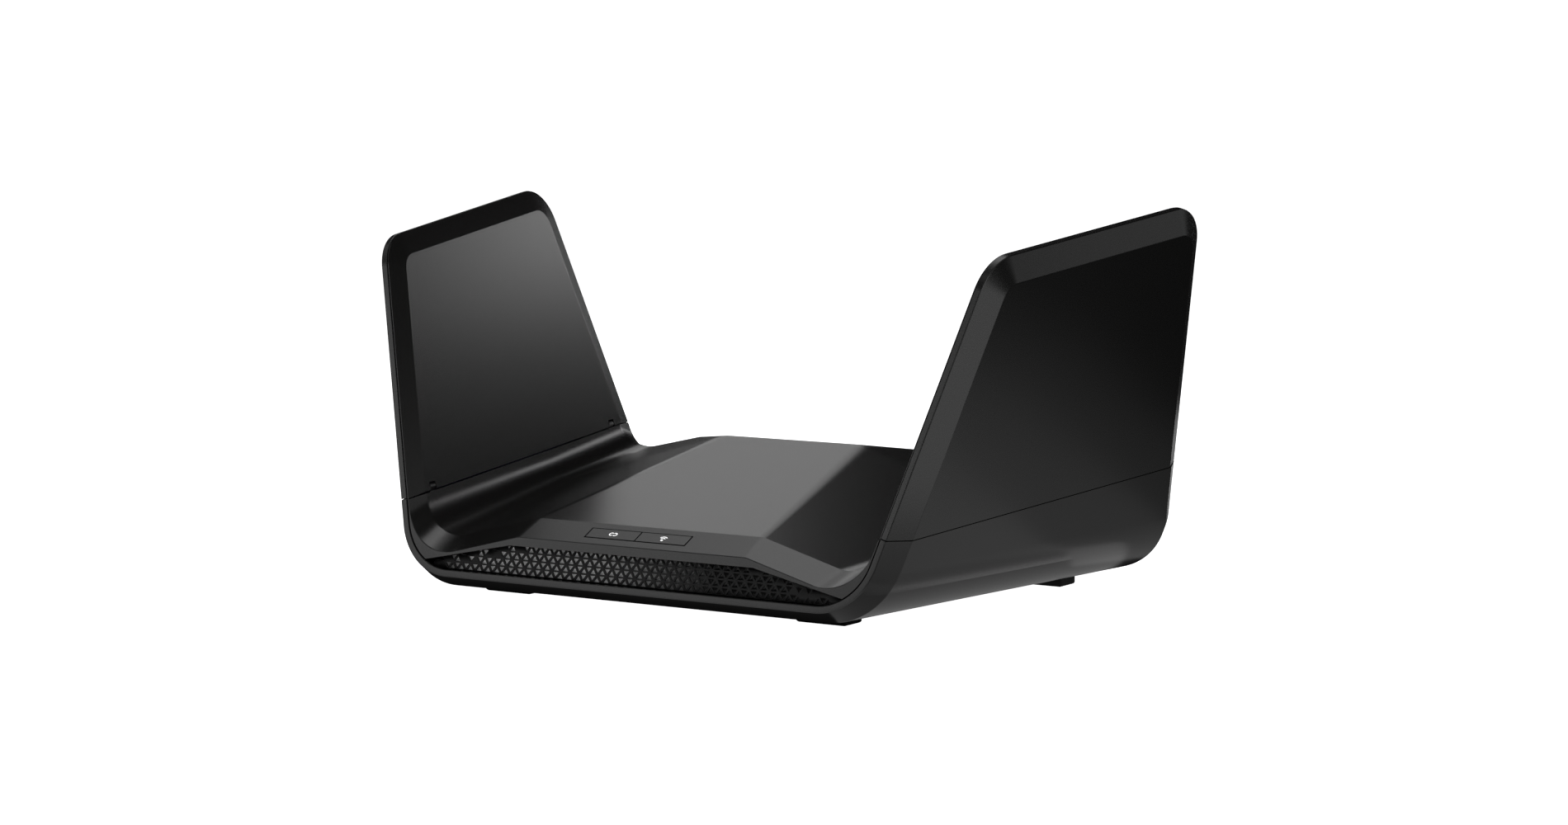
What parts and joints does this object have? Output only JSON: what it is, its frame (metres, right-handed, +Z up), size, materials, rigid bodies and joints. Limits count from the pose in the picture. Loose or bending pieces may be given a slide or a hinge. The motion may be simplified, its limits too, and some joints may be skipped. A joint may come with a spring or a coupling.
{
  "type": "wireless router with folding antenna wings",
  "caption": "Stand-alone wireless router with a low wedge-shaped body, antenna wings that fold down over it, front control buttons and a rear row of network, USB and power sockets.",
  "frame": {"origin": "bottom centre of the bounding box, on the plane that the four rubber feet stand on", "axes": "+X to the right wing as seen from the front, -Y to the front with the grille and buttons, +Y to the sockets, +Z up"},
  "size_m": [0.3252, 0.2036, 0.1547],
  "materials": {
    "satin_plastic": "satin moulded ABS",
    "matt_plastic": "fine matt texture",
    "rubber": "matt",
    "steel": "turned and drawn",
    "tinned_can": "tinned sheet",
    "aluminium": "extruded",
    "board": "green solder mask on laminate"
  },
  "bodies": {
    "base": {"bottom_shell": "satin_plastic", "top_shell": "satin_plastic", "hinge_rail_left": "steel", "hinge_rail_right": "steel", "hinge_pin_front_left": "steel", "hinge_pin_rear_left": "steel", "hinge_pin_front_right": "steel", "hinge_pin_rear_right": "steel", "front_grille": "matt_plastic", "button_switch_pairing": "tinned_can", "button_switch_wifi": "tinned_can", "button_board": "board", "wan_jack": "tinned_can", "lan_jack_1": "tinned_can", "lan_jack_2": "tinned_can", "lan_jack_3": "tinned_can", "lan_jack_4": "tinned_can", "lan_jack_5": "tinned_can", "usb_port_1": "tinned_can", "usb_port_2": "tinned_can", "dc_jack": "matt_plastic", "rear_panel": "matt_plastic", "power_switch": "matt_plastic", "reset_switch": "tinned_can", "light_switch": "tinned_can", "main_board": "board", "shield_radio_left": "tinned_can", "shield_radio_right": "tinned_can", "shield_processor": "tinned_can", "heat_sink": "aluminium", "heat_spreader": "aluminium", "thermal_pad": "rubber", "foot_front_left": "rubber", "foot_front_right": "rubber", "foot_rear_left": "rubber", "foot_rear_right": "rubber", "case_screw_1": "steel", "case_screw_2": "steel", "case_screw_3": "steel", "case_screw_4": "steel"},
    "wing_left": {"wing_outer_cover_left": "satin_plastic", "wing_inner_cover_left": "satin_plastic", "antenna_board_front_left": "board", "antenna_board_rear_left": "board"},
    "wing_right": {"wing_outer_cover_right": "satin_plastic", "wing_inner_cover_right": "satin_plastic", "antenna_board_front_right": "board", "antenna_board_rear_right": "board"},
    "button_pairing": {"button_pairing": "satin_plastic"},
    "button_wifi": {"button_wifi": "satin_plastic"},
    "power_button": {"power_button": "satin_plastic"},
    "reset_button": {"reset_button": "matt_plastic"},
    "light_slider": {"light_slider": "matt_plastic"}
  },
  "joints": [
    {"name": "wing_left_fold", "type": "hinge", "parent": "base", "child": "wing_left", "pos_m": [-0.12213, -0.00301, 0.0459], "axis": [-0.1268, 0.9891, 0.0742], "range_deg": [0, 88]},
    {"name": "wing_right_fold", "type": "hinge", "parent": "base", "child": "wing_right", "pos_m": [0.12213, -0.00301, 0.0459], "axis": [-0.1268, -0.9891, -0.0742], "range_deg": [0, 88]},
    {"name": "pairing_press", "type": "slide", "parent": "base", "child": "button_pairing", "axis": [0, 0.447, -0.8945], "range_m": [0, 0.0005], "stiffness_N_per_m": 400, "springref_m": -0.0005},
    {"name": "wifi_press", "type": "slide", "parent": "base", "child": "button_wifi", "axis": [0, 0.447, -0.8945], "range_m": [0, 0.0005], "stiffness_N_per_m": 400, "springref_m": -0.0005},
    {"name": "power_press", "type": "slide", "parent": "base", "child": "power_button", "axis": [0, -1, 0], "range_m": [0, 0.0015], "stiffness_N_per_m": 300, "springref_m": -0.0005},
    {"name": "reset_press", "type": "slide", "parent": "base", "child": "reset_button", "axis": [0, -1, 0], "range_m": [0, 0.0005], "stiffness_N_per_m": 300, "springref_m": -0.0005},
    {"name": "light_slide", "type": "slide", "parent": "base", "child": "light_slider", "axis": [1, 0, 0], "range_m": [0, 0.004]}
  ]
}
